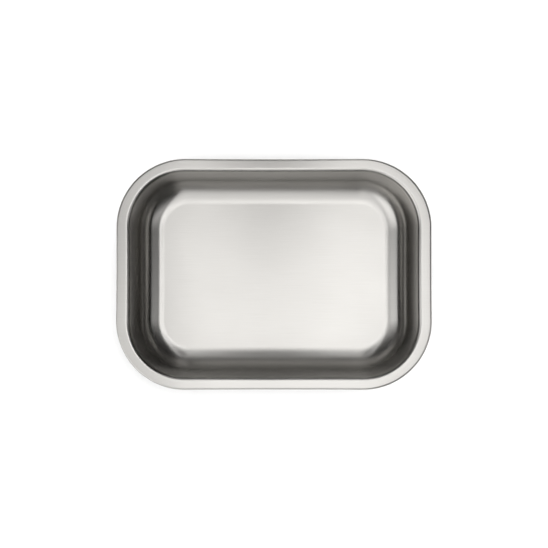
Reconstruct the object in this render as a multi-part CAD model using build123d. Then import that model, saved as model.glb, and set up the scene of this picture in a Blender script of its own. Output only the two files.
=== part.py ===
"""Rectangular instrument dish, deep drawn in one piece from stainless steel sheet.

The frame stands at the middle of the underside: +X runs along the length, +Y along the width
and +Z up out of the mouth. Every size is in millimetres and every angle in degrees.

One section of the sheet, from a corner's upright axis out to the edge rolled under the rim,
makes the whole dish. It is drawn straight along each side and turned through a quarter at each
corner, around a plain flat floor.
"""

import math
import os

from build123d import *

# Overall sizes
LENGTH = 220.0          # over the rim, along X
WIDTH = 161.0           # over the rim, along Y
HEIGHT = 42.0           # from the underside to the top of the rim
CORNER_RADIUS = 48.0    # outer edge of the rim, seen from above

# The sheet and the well
SHEET = 0.7             # thickness of the steel
DRAFT = 7.0             # lean of the walls from upright
FLOOR_FILLET = 16.5     # inside radius where the floor turns up into the wall

# The rim
RIM_WIDTH = 10.0        # from the top of the wall out to the edge of the bead
RIM_BEND = 3.4          # radius on the top side where the wall turns out into the rim
BEAD_RADIUS = 1.4       # outside radius of the edge rolled under the rim
BEAD_GAP = 0.3          # clearance from the cut edge up to the underside of the rim

# What follows from them
QUARTER = 90.0
BEND_TURN = QUARTER - DRAFT
SIN_DRAFT = math.sin(math.radians(DRAFT))
COS_DRAFT = math.cos(math.radians(DRAFT))
BENDS_HEIGHT = (FLOOR_FILLET + RIM_BEND) * (1 - SIN_DRAFT)
WALL_RUN = (HEIGHT - SHEET - BENDS_HEIGHT) / COS_DRAFT
RIM_FLAT = RIM_WIDTH - RIM_BEND * COS_DRAFT - BEAD_RADIUS
FLOOR_REACH = CORNER_RADIUS - RIM_WIDTH - WALL_RUN * SIN_DRAFT - FLOOR_FILLET * COS_DRAFT
EDGE_RISE = math.degrees(math.asin((BEAD_RADIUS - SHEET - BEAD_GAP) / BEAD_RADIUS))
BEAD_TURN = 3 * QUARTER + EDGE_RISE
CORNER_X = LENGTH / 2 - CORNER_RADIUS
CORNER_Y = WIDTH / 2 - CORNER_RADIUS


def skin(depth):
    """One face of the sheet as a chain of lines and arcs, from the corner's axis outwards.

    Depth is how far it lies below the upper face: 0 for that face and SHEET for the underside.
    """
    floor = Line((0, SHEET - depth), (FLOOR_REACH, SHEET - depth))
    fillet = JernArc(floor @ 1, floor % 1, FLOOR_FILLET + depth, BEND_TURN)
    wall = PolarLine(fillet @ 1, WALL_RUN, direction=fillet % 1)
    bend = JernArc(wall @ 1, wall % 1, RIM_BEND - depth, -BEND_TURN)
    rim = PolarLine(bend @ 1, RIM_FLAT, direction=bend % 1)
    bead = JernArc(rim @ 1, rim % 1, BEAD_RADIUS - depth, -BEAD_TURN)
    return [floor, fillet, wall, bend, rim, bead]


def section():
    """The sheet cut through, with X out from the corner's axis and Y up."""
    upper = skin(0)
    under = skin(SHEET)
    at_axis = Line(upper[0] @ 0, under[0] @ 0)
    cut_edge = Line(upper[-1] @ 1, under[-1] @ 1)
    return make_face([*upper, *under, at_axis, cut_edge])


def side_and_corner(cut, reach, run):
    """A side that faces +X, RUN long, and the corner that carries it round to +Y.

    REACH is how far out from the dish's middle the two corners' axes stand.
    """
    side_end = Plane(origin=(reach, run / 2, 0), x_dir=(1, 0, 0), z_dir=(0, -1, 0))
    placed = side_end * cut
    corner_axis = Axis((reach, run / 2, 0), (0, 0, 1))
    return extrude(placed, amount=run) + revolve(placed, corner_axis, QUARTER)


def dish_pan():
    """The whole pressing: floor, four sides, four corners, rim and bead as one sheet."""
    cut = section()
    pan = Box(2 * CORNER_X, 2 * CORNER_Y, SHEET, align=(Align.CENTER, Align.CENTER, Align.MIN))
    for quarter in range(4):
        faces_length = quarter % 2 == 0
        reach, half_run = (CORNER_X, CORNER_Y) if faces_length else (CORNER_Y, CORNER_X)
        pan += Rot(0, 0, quarter * QUARTER) * side_and_corner(cut, reach, 2 * half_run)
    return pan


def main():
    """Write the dish's one piece."""
    os.makedirs("parts", exist_ok=True)
    export_step(dish_pan(), "parts/dish_pan.step")


main()
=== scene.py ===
"""Instrument dish, deep drawn from one sheet of brushed stainless steel.

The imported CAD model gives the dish's place and overall size. This script models the finished
pressing inside that box, gives it its metal, and sets it on a pale table in a small studio.
Lengths are in metres and angles in radians, in the CAD model's own frame: +X along the length,
+Y along the width and +Z up out of the mouth.
"""

import logging
import math
from dataclasses import dataclass, field
from enum import Enum

import bmesh
import bpy
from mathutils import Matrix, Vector


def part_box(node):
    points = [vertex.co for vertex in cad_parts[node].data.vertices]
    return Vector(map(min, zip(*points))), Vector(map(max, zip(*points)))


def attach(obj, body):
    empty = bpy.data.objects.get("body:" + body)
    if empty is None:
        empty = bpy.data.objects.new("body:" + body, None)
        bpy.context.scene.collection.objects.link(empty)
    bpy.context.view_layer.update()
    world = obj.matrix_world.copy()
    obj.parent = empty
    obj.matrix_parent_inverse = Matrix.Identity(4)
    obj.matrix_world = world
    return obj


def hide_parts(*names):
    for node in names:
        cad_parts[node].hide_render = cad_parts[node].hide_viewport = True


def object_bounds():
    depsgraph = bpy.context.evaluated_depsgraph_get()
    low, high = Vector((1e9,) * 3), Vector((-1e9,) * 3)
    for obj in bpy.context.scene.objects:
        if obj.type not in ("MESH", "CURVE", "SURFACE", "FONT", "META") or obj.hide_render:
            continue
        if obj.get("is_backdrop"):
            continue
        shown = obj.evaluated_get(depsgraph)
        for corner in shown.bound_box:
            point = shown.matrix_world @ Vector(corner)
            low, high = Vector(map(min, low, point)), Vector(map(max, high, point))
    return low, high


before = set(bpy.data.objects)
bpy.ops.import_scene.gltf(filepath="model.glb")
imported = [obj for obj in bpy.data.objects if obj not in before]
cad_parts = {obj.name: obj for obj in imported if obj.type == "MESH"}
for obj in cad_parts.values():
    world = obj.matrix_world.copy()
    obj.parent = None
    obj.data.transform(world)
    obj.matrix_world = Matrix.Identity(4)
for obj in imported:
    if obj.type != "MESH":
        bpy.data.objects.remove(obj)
CAD_LOW, CAD_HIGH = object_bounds()

MM = 0.001
QUARTER = math.pi / 2
UP = Vector((0, 0, 1))
MERGE_DISTANCE = 0.005 * MM

log = logging.getLogger("instrument_dish")


class Slot(Enum):
    """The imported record's material slots."""

    STEEL = "brushed_stainless"


# ---------------------------------------------------------------- colours and nodes


def linear(hex_colour: str) -> tuple[float, float, float, float]:
    """Turn an sRGB hex colour into the linear colour that a shader wants.

    Args:
        hex_colour: six hex digits after a hash, such as "#c8c6c2".

    Returns:
        Linear red, green, blue and an alpha of one.
    """
    def channel(start: int) -> float:
        """One channel, from its two hex digits to a linear value."""
        value = int(hex_colour[start:start + 2], 16) / 255
        return value / 12.92 if value <= 0.04045 else ((value + 0.055) / 1.055) ** 2.4

    return channel(1), channel(3), channel(5), 1.0


def add_node(tree: bpy.types.NodeTree, kind: str, settings: dict | None = None,
             inputs: dict | None = None) -> bpy.types.Node:
    """Add one node, set it up and wire what comes into it.

    Args:
        tree: the node tree that the node goes into.
        kind: the node's type name.
        settings: the node's own properties, by name.
        inputs: by socket name or number, either a value or the output socket to link from.

    Returns:
        The new node.
    """
    node = tree.nodes.new(kind)
    for name, value in (settings or {}).items():
        setattr(node, name, value)
    for key, value in (inputs or {}).items():
        if isinstance(value, bpy.types.NodeSocket):
            tree.links.new(value, node.inputs[key])
        else:
            node.inputs[key].default_value = value
    return node


def new_material(name: str) -> tuple[bpy.types.Material, bpy.types.NodeTree]:
    """Make an empty node material.

    Args:
        name: the material's name.

    Returns:
        The material and its cleared node tree.
    """
    material = bpy.data.materials.new(name)
    material.use_nodes = True
    material.node_tree.nodes.clear()
    return material, material.node_tree


# ---------------------------------------------------------------- finishes


@dataclass(frozen=True)
class BrushedStainless:
    """Type 304 stainless sheet, brushed along its length and then drawn.

    The brushing leaves fine straight scratches, so the metal mirrors sharply along them and
    smears what it mirrors across them. They were on the flat blank before the press, and the
    drawing carried them up the walls: they climb the end walls and run level along the side
    walls. The pattern and the smear therefore follow the map of the flat blank.
    """

    name: str = "stainless_304_brushed_and_drawn"
    colour: str = "#cbc9c6"
    colour_in_scratches: str = "#c2c0bc"
    roughness: float = 0.29
    roughness_spread: float = 0.015
    smear: float = 0.82             # how much wider the mirror smears across the scratches
    edge_tint: str = "#dadada"      # steel gives less than a perfect edge seen nearly along it
    scratch_width: float = 0.45 * MM   # real ones are 0.05 mm; drawn coarse enough to show
    scratch_length: float = 26 * MM
    scratch_depth: float = 0.0004 * MM
    haze_size: float = 30 * MM      # cloudy patches where the belt pressed harder
    scratch_detail: float = 3.0     # finer scratches within the scratches
    haze_detail: float = 2.0
    across: float = 0.25            # of a turn: the smear goes across the map's length

    def build(self, blank_map: str) -> bpy.types.Material:
        """Make the material. It gives the eye fine level lines and long soft reflections.

        Args:
            blank_map: name of the UV map that lays the flat blank out in metres.

        Returns:
            The finished material.
        """
        material, tree = new_material(self.name)
        blank = add_node(tree, "ShaderNodeUVMap", {"uv_map": blank_map})
        along = add_node(tree, "ShaderNodeMapping", None, {
            "Vector": blank.outputs["UV"],
            "Scale": (1 / self.scratch_length, 1 / self.scratch_width, 1),
        })
        scratches = add_node(tree, "ShaderNodeTexNoise", {"noise_dimensions": "2D"}, {
            "Vector": along.outputs["Vector"], "Scale": 1.0,
            "Detail": self.scratch_detail, "Roughness": 0.6,
        })
        haze = add_node(tree, "ShaderNodeTexNoise", {"noise_dimensions": "2D"}, {
            "Vector": blank.outputs["UV"], "Scale": 1 / self.haze_size,
            "Detail": self.haze_detail,
        })
        tint = add_node(tree, "ShaderNodeMix", {"data_type": "RGBA"}, {
            "Factor": scratches.outputs["Fac"],
            "A": linear(self.colour_in_scratches),
            "B": linear(self.colour),
        })
        unevenness = add_node(tree, "ShaderNodeMath", {"operation": "ADD"}, {
            0: scratches.outputs["Fac"], 1: haze.outputs["Fac"],
        })
        roughness = add_node(tree, "ShaderNodeMapRange", None, {
            "Value": unevenness.outputs["Value"],
            "From Min": 0.5, "From Max": 1.5,
            "To Min": self.roughness - self.roughness_spread,
            "To Max": self.roughness + self.roughness_spread,
        })
        bump = add_node(tree, "ShaderNodeBump", None, {
            "Height": scratches.outputs["Fac"], "Distance": self.scratch_depth,
        })
        direction = add_node(tree, "ShaderNodeTangent",
                             {"direction_type": "UV_MAP", "uv_map": blank_map})
        metal = add_node(tree, "ShaderNodeBsdfPrincipled", None, {
            "Base Color": tint.outputs["Result"],
            "Metallic": 1.0,
            "Roughness": roughness.outputs["Result"],
            "Normal": bump.outputs["Normal"],
            "Specular Tint": linear(self.edge_tint),
            "Anisotropic": self.smear,
            "Anisotropic Rotation": self.across,
            "Tangent": direction.outputs["Tangent"],
        })
        add_node(tree, "ShaderNodeOutputMaterial", None, {"Surface": metal.outputs["BSDF"]})
        return material


@dataclass(frozen=True)
class MattFinish:
    """An even matt surface of one colour."""

    name: str
    colour: str
    roughness: float

    def build(self) -> bpy.types.Material:
        """Make the material.

        Returns:
            The finished material.
        """
        material, tree = new_material(self.name)
        surface = add_node(tree, "ShaderNodeBsdfPrincipled", None, {
            "Base Color": linear(self.colour), "Roughness": self.roughness,
        })
        add_node(tree, "ShaderNodeOutputMaterial", None, {"Surface": surface.outputs["BSDF"]})
        return material


@dataclass(frozen=True)
class PaleTable(MattFinish):
    """White melamine table top: matt, even and nearly shadowless under soft light."""

    name: str = "white_melamine_table"
    colour: str = "#fbfbfb"
    roughness: float = 0.7


@dataclass(frozen=True)
class BlackBoom(MattFinish):
    """Black anodised aluminium of a camera boom: nearly no light comes back from it."""

    name: str = "black_anodised_boom"
    colour: str = "#1c1c1c"
    roughness: float = 0.6


# ---------------------------------------------------------------- modelling helpers


def deselect_everything() -> None:
    """Leave object mode with nothing selected, the CAD nodes included."""
    if bpy.context.object and bpy.context.object.mode != "OBJECT":
        bpy.ops.object.mode_set(mode="OBJECT")
    bpy.ops.object.select_all(action="DESELECT")


def run_straight(step: Vector, count: int) -> None:
    """Extrude what is selected in a straight line.

    Args:
        step: how far each extrusion goes.
        count: how many are made, one after another.
    """
    for _ in range(count):
        bpy.ops.mesh.extrude_region_move(TRANSFORM_OT_translate={"value": step})


def run_round(centre: Vector, axis: Vector, turn: float, count: int) -> None:
    """Spin what is selected about an axis. The operator itself turns against the right-hand rule.

    Args:
        centre: a point on the axis.
        axis: the axis's direction.
        turn: the whole angle, by the right-hand rule.
        count: how many steps it takes.
    """
    bpy.ops.mesh.spin(steps=count, angle=-turn, center=centre, axis=axis, dupli=False)


def apply_modifier(piece: bpy.types.Object, kind: str, settings: dict) -> None:
    """Add a modifier to a piece and apply it at once.

    Args:
        piece: the object, which is active.
        kind: the modifier's type name.
        settings: its properties, by name.
    """
    modifier = piece.modifiers.new(kind.lower(), kind)
    for name, value in settings.items():
        setattr(modifier, name, value)
    bpy.ops.object.modifier_apply(modifier=modifier.name)


# ---------------------------------------------------------------- the dish


@dataclass
class DrawnDish:
    """The whole dish: one sheet, drawn into a well with a flat rim and an edge rolled under."""

    length: float
    width: float
    height: float
    corner_radius: float = 48 * MM
    sheet: float = 0.7 * MM
    draft: float = math.radians(7)
    floor_fillet: float = 16.5 * MM
    rim_width: float = 10 * MM
    rim_bend: float = 3.4 * MM
    bead_radius: float = 1.4 * MM
    bead_turn: float = math.radians(285)
    side_bow: float = 0.2 * MM      # how far each long side springs inwards at its middle
    end_bow: float = 0.15 * MM      # the same at the short ends
    wider_floor: float = 0.02       # how much wider the floor is than an even wall leaves it
    wider_mouth: float = 0.012      # the same at the top of the wall
    widening_fade: int = 4          # how fast the floor's extra width dies out up the wall
    floor_steps: int = 3
    fillet_steps: int = 30
    wall_steps: int = 6
    bend_steps: int = 16
    rim_steps: int = 3
    bead_steps: int = 32
    end_steps: int = 6
    corner_steps: int = 36
    side_steps: int = 8
    crease: float = math.radians(40)    # only the sheet's cut edge is sharper than this
    blank_map: str = "blank"
    profile: list[tuple[float, float, float]] = field(default_factory=list)

    @property
    def corner_x(self) -> float:
        """How far along X the corners' upright axes stand from the middle."""
        return self.length / 2 - self.corner_radius

    @property
    def corner_y(self) -> float:
        """How far along Y the corners' upright axes stand from the middle."""
        return self.width / 2 - self.corner_radius

    @property
    def wall_run(self) -> float:
        """Length of the wall's flat, between the floor's fillet and the rim's bend."""
        bends = (self.floor_fillet + self.rim_bend) * (1 - math.sin(self.draft))
        return (self.height - self.sheet - bends) / math.cos(self.draft)

    @property
    def floor_reach(self) -> float:
        """How far the flat floor goes out from a corner's axis."""
        wall_top = self.corner_radius - self.rim_width
        fillet = self.floor_fillet * math.cos(self.draft)
        return wall_top - self.wall_run * math.sin(self.draft) - fillet

    def draw_profile(self, start: Vector) -> None:
        """Draw the sheet's upper face in section, from a corner's axis out to the cut edge.

        Args:
            start: where the section begins. It runs out along +X and up along +Z.
        """
        bend_turn = QUARTER - self.draft
        wall = Vector((math.sin(self.draft), 0, math.cos(self.draft)))
        wall_outwards = Vector((math.cos(self.draft), 0, -math.sin(self.draft)))
        rim_flat = self.rim_width - self.rim_bend * math.cos(self.draft) - self.bead_radius
        across = Vector((0, -1, 0))
        out = Vector((1, 0, 0))

        run_straight(out * self.floor_reach / self.floor_steps, self.floor_steps)
        at = start + out * self.floor_reach
        centre = at + UP * self.floor_fillet
        run_round(centre, across, bend_turn, self.fillet_steps)
        foot = centre + wall_outwards * self.floor_fillet
        run_straight(wall * self.wall_run / self.wall_steps, self.wall_steps)
        at = foot + wall * self.wall_run
        centre = at + wall_outwards * self.rim_bend
        run_round(centre, across, -bend_turn, self.bend_steps)
        at = centre + UP * self.rim_bend
        run_straight(out * rim_flat / self.rim_steps, self.rim_steps)
        at = at + out * rim_flat
        run_round(at - UP * self.bead_radius, across, -self.bead_turn, self.bead_steps)

    def sweep_quarter(self, start: Vector) -> None:
        """Carry the section from the middle of an end, round a corner, to a side's middle.

        Args:
            start: where the section begins, on the lengthwise middle plane.
        """
        end_turn = self.spring(self.end_bow, self.corner_y)
        side_turn = self.spring(self.side_bow, self.corner_x)
        corner = Vector((self.corner_x, self.corner_y, 0))
        beyond_end = Vector((self.corner_x + self.corner_y / math.tan(end_turn), 0, 0))
        beyond_side = Vector((0, self.corner_y + self.corner_x / math.tan(side_turn), 0))

        bpy.ops.mesh.select_all(action="SELECT")
        run_round(beyond_end, UP, -end_turn, self.end_steps)
        run_round(corner, UP, end_turn + QUARTER + side_turn, self.corner_steps)
        run_round(beyond_side, UP, -side_turn, self.side_steps)

    @staticmethod
    def spring(bow: float, half_run: float) -> float:
        """Find the arc of a side that springs inwards.

        Args:
            bow: how far its middle springs in.
            half_run: half the side's length.

        Returns:
            Half the angle that the side turns through.
        """
        return 2 * math.atan(bow / half_run)

    def build(self) -> bpy.types.Object:
        """Model the dish.

        Returns:
            The finished mesh object, at the origin.
        """
        end_turn = self.spring(self.end_bow, self.corner_y)
        start_x = self.corner_x - self.corner_y * math.tan(end_turn / 2)
        start = Vector((start_x, 0, self.sheet))

        deselect_everything()
        bpy.ops.mesh.primitive_plane_add(size=self.sheet, location=start)
        pan = bpy.context.object
        pan.name = pan.data.name = "drawn_dish"
        bpy.ops.object.transform_apply(location=True, rotation=True, scale=True)
        bpy.ops.object.mode_set(mode="EDIT")
        bpy.ops.mesh.select_mode(type="VERT")
        bpy.ops.mesh.select_all(action="SELECT")
        bpy.ops.mesh.merge(type="CENTER")
        self.draw_profile(start)
        self.note_profile(pan, start)
        self.sweep_quarter(start)
        bpy.ops.mesh.select_all(action="SELECT")
        bpy.ops.mesh.remove_doubles(threshold=MERGE_DISTANCE)
        bpy.ops.object.mode_set(mode="OBJECT")

        apply_modifier(pan, "MIRROR", {
            "use_axis": (True, True, False), "use_clip": True, "merge_threshold": MERGE_DISTANCE,
        })
        self.close_floor(pan)
        self.face_upwards(pan)
        self.lay_out_blank(pan)
        self.widen_well(pan)
        apply_modifier(pan, "SOLIDIFY", {
            "thickness": self.sheet, "offset": -1.0, "use_even_offset": True,
            "use_quality_normals": True,
        })
        bpy.ops.object.shade_smooth_by_angle(angle=self.crease)
        apply_modifier(pan, "WEIGHTED_NORMAL", {"weight": 100, "keep_sharp": True})
        return pan

    def note_profile(self, pan: bpy.types.Object, start: Vector) -> None:
        """Keep each profile point's reach, height and distance along the sheet.

        Args:
            pan: the object being modelled, in edit mode, holding only the profile.
            start: where the profile begins.
        """
        mesh = bmesh.from_edit_mesh(pan.data)
        at = min(mesh.verts, key=lambda vert: (vert.co - start).length)
        came_by, travelled = None, 0.0
        while at is not None:
            self.profile.append((at.co.x - start.x, at.co.z, travelled))
            onward = [edge for edge in at.link_edges if edge is not came_by]
            came_by = onward[0] if onward else None
            travelled += came_by.calc_length() if came_by else 0.0
            at = came_by.other_vert(at) if came_by else None

    def close_floor(self, pan: bpy.types.Object) -> None:
        """Fill the middle of the floor, inside the corners' axes.

        Args:
            pan: the object being modelled, in object mode.
        """
        bpy.ops.object.mode_set(mode="EDIT")
        bpy.ops.mesh.select_mode(type="EDGE")
        bpy.ops.mesh.select_all(action="DESELECT")
        mesh = bmesh.from_edit_mesh(pan.data)
        for edge in mesh.edges:
            level = all(abs(vert.co.z - self.sheet) < MERGE_DISTANCE for vert in edge.verts)
            edge.select_set(edge.is_boundary and level)
        bmesh.update_edit_mesh(pan.data)
        bpy.ops.mesh.edge_face_add()
        bpy.ops.object.mode_set(mode="OBJECT")

    def face_upwards(self, pan: bpy.types.Object) -> None:
        """Make every face of the sheet's upper skin look up out of the well.

        Args:
            pan: the object being modelled, in object mode.
        """
        bpy.ops.object.mode_set(mode="EDIT")
        bpy.ops.mesh.select_all(action="SELECT")
        bpy.ops.mesh.normals_make_consistent(inside=False)
        floor = max(bmesh.from_edit_mesh(pan.data).faces, key=lambda face: face.calc_area())
        if floor.normal.z < 0:
            bpy.ops.mesh.flip_normals()
        bpy.ops.object.mode_set(mode="OBJECT")

    def lay_out_blank(self, pan: bpy.types.Object) -> None:
        """Map every point to its place on the flat blank, in metres, as a UV map.

        A point is as far from its corner's axis on the blank as the sheet's length between
        them, in the same direction seen from above.

        Args:
            pan: the object being modelled, in object mode.
        """
        blank = pan.data.uv_layers.new(name=self.blank_map)
        for loop in pan.data.loops:
            place = pan.data.vertices[loop.vertex_index].co
            outwards = self.outwards(place)
            nearest = place.to_2d() - outwards
            blank.data[loop.index].uv = nearest + outwards.normalized() * self.travelled(
                outwards.length, place.z)

    def outwards(self, place: Vector) -> Vector:
        """How a point lies from the nearest corner's axis, or from the line between two of them.

        Args:
            place: the point.

        Returns:
            The way out to it, seen from above.
        """
        return Vector((
            place.x - max(-self.corner_x, min(self.corner_x, place.x)),
            place.y - max(-self.corner_y, min(self.corner_y, place.y)),
        ))

    def travelled(self, reach: float, level: float) -> float:
        """Distance along the sheet out to a point.

        Args:
            reach: how far the point stands out from its corner's axis.
            level: the point's height.

        Returns:
            The length of sheet between the axis and the point.
        """
        nearest = min(self.profile, key=lambda at: (at[0] - reach) ** 2 + (at[1] - level) ** 2)
        return nearest[2]

    def widen_well(self, pan: bpy.types.Object) -> None:
        """Widen the well, so that the long sides have a narrower rim and a tighter bend below.

        The widening is greatest at the floor, and it has faded out before the rolled edge.

        Args:
            pan: the object being modelled, in object mode.
        """
        mouth = self.corner_radius - self.rim_width
        edge = self.corner_radius - 2 * self.bead_radius
        for vert in pan.data.vertices:
            depth = max(0.0, 1 - vert.co.z / (self.height - self.rim_bend))
            inside = min(1.0, max(0.0, (edge - self.outwards(vert.co).length) / (edge - mouth)))
            extra = (self.wider_floor - self.wider_mouth) * depth ** self.widening_fade
            widening = self.wider_mouth + extra
            vert.co.y *= 1 + widening * inside


# ---------------------------------------------------------------- the studio


@dataclass(frozen=True)
class Softbox:
    """One soft light, a level rectangle over the table that shines straight down."""

    name: str
    middle: tuple[float, float, float]
    size: tuple[float, float]
    brightness: float               # radiance of the cloth, in watts per square metre and steradian
    in_reflections: bool = True     # a light meant for the table alone stays out of the metal

    def build(self) -> bpy.types.Object:
        """Hang the light.

        Returns:
            The light object.
        """
        lamp = bpy.data.lights.new(self.name, "AREA")
        lamp.shape = "RECTANGLE"
        lamp.size, lamp.size_y = self.size
        lamp.energy = 4 * self.size[0] * self.size[1] * self.brightness
        holder = bpy.data.objects.new(self.name, lamp)
        holder.location = self.middle
        holder.visible_glossy = self.in_reflections
        bpy.context.scene.collection.objects.link(holder)
        return holder


@dataclass(frozen=True)
class BoomBar:
    """One level black bar of the camera's boom. Only the metal sees it, as a dark smudge."""

    name: str
    middle: tuple[float, float, float]
    size: tuple[float, float, float]

    def build(self) -> bpy.types.Object:
        """Hang the bar.

        Returns:
            The bar's mesh object.
        """
        deselect_everything()
        bpy.ops.mesh.primitive_cube_add(size=1, location=self.middle)
        bar = bpy.context.object
        bar.name = self.name
        bar.scale = self.size
        bpy.ops.object.transform_apply(location=True, rotation=True, scale=True)
        bar.data.materials.append(BlackBoom().build())
        bar.visible_camera = False
        bar.visible_shadow = False
        bar.visible_diffuse = False
        return bar


@dataclass(frozen=True)
class Studio:
    """A white table top, soft lights overhead and a camera looking straight down.

    The lights over the dish make a broad pale field that dims to the left and the back. What
    the end walls and the near corners mirror lies beyond it, so those stay dark.
    """

    table_size: float = 2.8
    table_clearance: float = 0.02 * MM  # keeps the table's face from lying in the dish's own
    camera_height: float = 700 * MM     # from the rim up to the camera
    camera_forward: float = 15 * MM     # how far the camera stands in front of the dish's middle
    view_width: float = 381.2 * MM      # what the camera takes in, across the rim's plane
    sensor: float = 36.0
    room_colour: str = "#f6f6f6"
    room_strength: float = 0.0025      # the dim room that the metal mirrors
    backdrop_strength: float = 1.0     # the pale backdrop that the camera sees behind the table
    glow_below: float = -0.06          # directions steeper than this come up from a pale floor
    softboxes: tuple[Softbox, ...] = (
        Softbox("left_silk", (-1.60, -1.275, 1.20), (2.00, 2.65), 1.30),
        Softbox("front_silk", (-0.125, -1.45, 1.20), (0.95, 2.30), 0.85),
        Softbox("overhead", (-0.125, -0.10, 1.20), (0.95, 0.40), 1.00),
        Softbox("overhead_core", (0.08, 0.005, 1.19), (0.54, 0.29), 1.38),
        Softbox("back_strip", (0.0, 0.80, 1.20), (0.60, 1.40), 0.70),
        Softbox("near_right", (0.475, -0.35, 1.20), (0.25, 0.50), 0.68),
        Softbox("right_strip", (1.40, -0.35, 1.20), (1.60, 0.50), 0.93),
        Softbox("table_light_back", (0.9, 1.1, 1.3), (3.0, 3.0), 1.4, in_reflections=False),
        Softbox("table_light_front", (-0.3, -1.5, 1.3), (2.6, 2.4), 0.35, in_reflections=False),
    )
    boom: tuple[BoomBar, ...] = (
        BoomBar("boom_arm", (-0.008, 0.140, 0.78), (0.110, 0.12, 0.04)),
        BoomBar("boom_clamp", (-0.010, 0.45, 0.78), (0.170, 0.50, 0.04)),
    )

    def build(self) -> None:
        """Set the table, the lights, the room and the camera."""
        self.set_table()
        for softbox in self.softboxes:
            softbox.build()
        for bar in self.boom:
            bar.build()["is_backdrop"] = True
        self.light_room()
        self.set_camera()
        bpy.context.scene.view_settings.view_transform = "Standard"

    def set_table(self) -> None:
        """Lay the table top under the dish."""
        deselect_everything()
        bpy.ops.mesh.primitive_plane_add(size=self.table_size,
                                        location=(0, 0, CAD_LOW.z - self.table_clearance))
        table = bpy.context.object
        table.name = "table_top"
        table.data.materials.append(PaleTable().build())
        table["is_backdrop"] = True

    def light_room(self) -> None:
        """Put a pale backdrop behind the table and a pale floor below it, in a dim room.

        The camera sees the backdrop, and the metal mirrors the dim room in its place. The glow
        from the floor reaches the dish only in a view from below, where the table is out of
        the way.
        """
        world = bpy.data.worlds.new("room")
        world.use_nodes = True
        tree = world.node_tree
        tree.nodes.clear()
        direction = add_node(tree, "ShaderNodeTexCoord")
        parts = add_node(tree, "ShaderNodeSeparateXYZ", None,
                         {"Vector": direction.outputs["Generated"]})
        below = add_node(tree, "ShaderNodeMath", {"operation": "LESS_THAN"},
                         {0: parts.outputs["Z"], 1: self.glow_below})
        ray = add_node(tree, "ShaderNodeLightPath")
        pale = add_node(tree, "ShaderNodeMath", {"operation": "MAXIMUM"},
                        {0: below.outputs["Value"], 1: ray.outputs["Is Camera Ray"]})
        strength = add_node(tree, "ShaderNodeMapRange", None, {
            "Value": pale.outputs["Value"],
            "To Min": self.room_strength, "To Max": self.backdrop_strength,
        })
        background = add_node(tree, "ShaderNodeBackground", None, {
            "Color": linear(self.room_colour), "Strength": strength.outputs["Result"],
        })
        add_node(tree, "ShaderNodeOutputWorld", None,
                 {"Surface": background.outputs["Background"]})
        bpy.context.scene.world = world

    def set_camera(self) -> None:
        """Hang the camera over the dish, looking down at the middle of the rim."""
        lens = bpy.data.cameras.new("overhead_camera")
        lens.sensor_width = self.sensor
        lens.lens = self.sensor * self.camera_height / self.view_width
        camera = bpy.data.objects.new("overhead_camera", lens)
        camera.location = (0, -self.camera_forward, CAD_HIGH.z + self.camera_height)
        camera.rotation_euler = (math.atan(self.camera_forward / self.camera_height), 0, 0)
        bpy.context.scene.collection.objects.link(camera)
        bpy.context.scene.camera = camera


# ---------------------------------------------------------------- putting it together


def main() -> None:
    """Model and dress the dish, set the studio and report each piece."""
    logging.basicConfig(level=logging.INFO, format="%(name)s: %(message)s")
    low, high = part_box("dish_pan")
    size = high - low
    dish = DrawnDish(length=size.x, width=size.y, height=size.z)
    pan = dish.build()
    pan.data.materials.append(BrushedStainless().build(dish.blank_map))
    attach(pan, "root")
    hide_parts("dish_pan")
    log.info("%s: %d faces", pan.name, len(pan.data.polygons))
    Studio().build()

    low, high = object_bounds()


if __name__ == "__main__":
    main()
